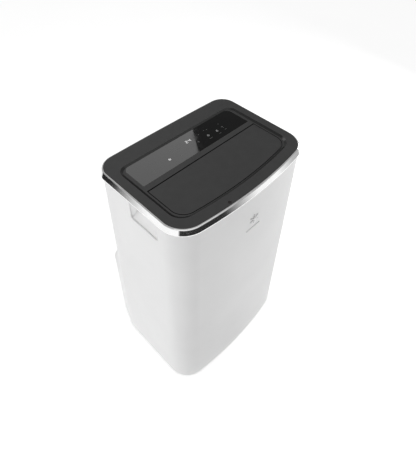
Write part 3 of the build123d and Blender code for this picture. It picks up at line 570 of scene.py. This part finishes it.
def photo_camera():
    back = Vector((
        math.sin(AZIMUTH) * math.cos(ELEVATION),
        -math.cos(AZIMUTH) * math.cos(ELEVATION),
        math.sin(ELEVATION),
    ))
    right = Vector((math.cos(AZIMUTH), math.sin(AZIMUTH), 0))
    up = back.cross(right)
    x_axis = math.cos(ROLL) * right + math.sin(ROLL) * up
    y_axis = math.cos(ROLL) * up - math.sin(ROLL) * right
    data = bpy.data.cameras.new("camera")
    data.sensor_width = 36.0
    data.lens = 30.48
    data.shift_x = -0.0106
    data.shift_y = -0.1234
    data.clip_start = 0.01
    camera = bpy.data.objects.new("camera", data)
    bpy.context.scene.collection.objects.link(camera)
    turn = Matrix((x_axis, y_axis, back)).transposed().to_4x4()
    camera.matrix_world = Matrix.Translation(CAMERA_AT) @ turn
    bpy.context.scene.camera = camera


photo_camera()


# ---------------------------------------------------------------- studio
CEILING = 3.0          # height of the overhead cards
WALL_RADIUS = 2.0      # the standing surround, in two tiers
WALL_TIERS = (0.001, 0.60, 1.10)

# Flags hung before each tier: from and to as directions in degrees from +X, their glow, and the
# width of the soft edge before and after.
LOW_WALL = 1.1
LOW_FLAGS = [(-145, -71, 0.03, 5, 16), (-36, -24, 0.5, 10, 30), (125, 142, 0.02, 15, 8)]
HIGH_WALL = 0.9
HIGH_FLAGS = [(-30, 40, 0.03, 90, 60)]


def bare_glow(name):
    """Material that only glows; returns it with its node tree and its emission node."""
    mat = bpy.data.materials.new(name)
    mat.use_nodes = True
    tree = mat.node_tree
    tree.nodes.clear()
    glow = tree.nodes.new("ShaderNodeEmission")
    out = tree.nodes.new("ShaderNodeOutputMaterial")
    tree.links.new(glow.outputs["Emission"], out.inputs["Surface"])
    return mat, tree, glow


def even_glow(name, strength):
    mat, _, glow = bare_glow(name)
    glow.inputs["Color"].default_value = WHITE
    glow.inputs["Strength"].default_value = strength
    return mat


def wall_glow(name, wall, flags):
    """Glow that changes with the direction from the middle of the case."""
    mat, tree, glow = bare_glow(name)
    place = tree.nodes.new("ShaderNodeTexCoord")
    around = tree.nodes.new("ShaderNodeTexGradient")
    around.gradient_type = "RADIAL"
    tree.links.new(place.outputs["Object"], around.inputs["Vector"])
    ramp = tree.nodes.new("ShaderNodeValToRGB")
    elements = ramp.color_ramp.elements
    for end, position in zip(elements, (0.0, 1.0)):
        end.position = position
        end.color = (*grey(wall), 1)
    for start, end, level, before, after in flags:
        stops = ((start - before, wall), (start, level), (end, level), (end + after, wall))
        for direction, brightness in stops:
            elements.new((direction + 180) / 360).color = (*grey(brightness), 1)
    tree.links.new(around.outputs["Fac"], ramp.inputs["Fac"])
    tree.links.new(ramp.outputs["Color"], glow.inputs["Color"])
    return mat


def unseen(piece):
    """Only glossy surfaces see this piece of the studio."""
    piece.visible_camera = False
    piece.visible_diffuse = False
    piece.visible_shadow = False
    piece.visible_transmission = False


def card(name, outline, height, strength):
    """Level reflection card that only glossy surfaces see; plan outline in metres."""
    mesh = bpy.data.meshes.new(name)
    mesh.from_pydata([(x, y, height) for x, y in outline], [], [tuple(range(len(outline)))])
    made = add_piece(name, mesh, even_glow(name + "_glow", strength))
    unseen(made)
    return made


def surround(name, wall, flags, bottom, top):
    """Standing wall around the case, which the ring and the deck's slopes mirror."""
    sides = 96
    rim = [on_circle((0, 0), WALL_RADIUS, math.tau * k / sides) for k in range(sides)]
    points = [(x, y, z) for z in (bottom, top) for x, y in rim]
    faces = [(k, (k + 1) % sides, sides + (k + 1) % sides, sides + k) for k in range(sides)]
    mesh = bpy.data.meshes.new(name)
    mesh.from_pydata(points, [], faces)
    unseen(add_piece(name, mesh, wall_glow(name + "_glow", wall, flags)))


def softbox(name, at, size, power):
    """Square area light aimed at the middle of the case."""
    light = bpy.data.lights.new(name, "AREA")
    light.size = size
    light.energy = power
    lamp = bpy.data.objects.new(name, light)
    lamp.location = at
    aim = Vector((0, 0, 0.45)) - lamp.location
    lamp.rotation_euler = aim.to_track_quat("-Z", "Y").to_euler()
    bpy.context.scene.collection.objects.link(lamp)


def pale_world():
    world = bpy.data.worlds.new("studio")
    world.use_nodes = True
    background = world.node_tree.nodes["Background"]
    background.inputs["Color"].default_value = WHITE
    background.inputs["Strength"].default_value = 0.42
    bpy.context.scene.world = world


def pale_floor():
    reach = 14.0
    f = Finish("floor_white", grey(0.88), 0.9)
    f.tint(f.noise(3.0), grey(0.875), grey(0.885))
    f.surface.inputs["Specular IOR Level"].default_value = 0.0
    f.glow(0.57)
    corners = [(-reach, -reach, 0), (reach, -reach, 0), (reach, reach, 0), (-reach, reach, 0)]
    mesh = bpy.data.meshes.new("floor")
    mesh.from_pydata(corners, [], [(0, 1, 2, 3)])
    add_piece("floor", mesh, f.mat)


def reflections():
    """What the glass, the ring and the deck mirror."""
    bottom, middle, top = WALL_TIERS
    surround("surround_low", LOW_WALL, LOW_FLAGS, bottom, middle)
    surround("surround_high", HIGH_WALL, HIGH_FLAGS, middle, top)

    # a bright and a dark panel overhead, whose common edge crosses the glass
    near_y, far_y = 1.570, 2.586
    near_edge, far_edge = (1.635, near_y), (2.343, far_y)
    card("panel_bright", [near_edge, far_edge, (0.2, far_y), (0.2, near_y)], CEILING, 2.0)
    card("panel_dark", [near_edge, (3.6, near_y), (3.6, far_y), far_edge], CEILING, 0.16)

    # overhead card that the ring's rounded lip mirrors
    over_lip = [(-1.6, 2.0), (-0.4, 2.0), (-0.2, 0.4), (0.9, -0.2), (2.4, -0.4), (2.4, -1.8),
                (-1.6, -1.8)]
    card("panel_lip", over_lip, CEILING, 0.9)


def floor_patch():
    """Dimmer floor before the case that only diffuse surfaces see; it deepens the front's foot."""
    outline = [(-0.8, -1.5), (0.3, -1.5), (0.3, -0.24), (-0.8, -0.24)]
    patch = card("floor_patch", outline, 0.002, 0.62)
    patch.visible_glossy = False
    patch.visible_diffuse = True


bpy.context.scene.view_settings.view_transform = "Standard"
pale_world()
pale_floor()
reflections()
floor_patch()
softbox("key", (-2.6, 0.9, 2.0), 1.2, 20.0)
softbox("front_fill", (1.9, -0.35, 1.0), 0.7, 14.0)
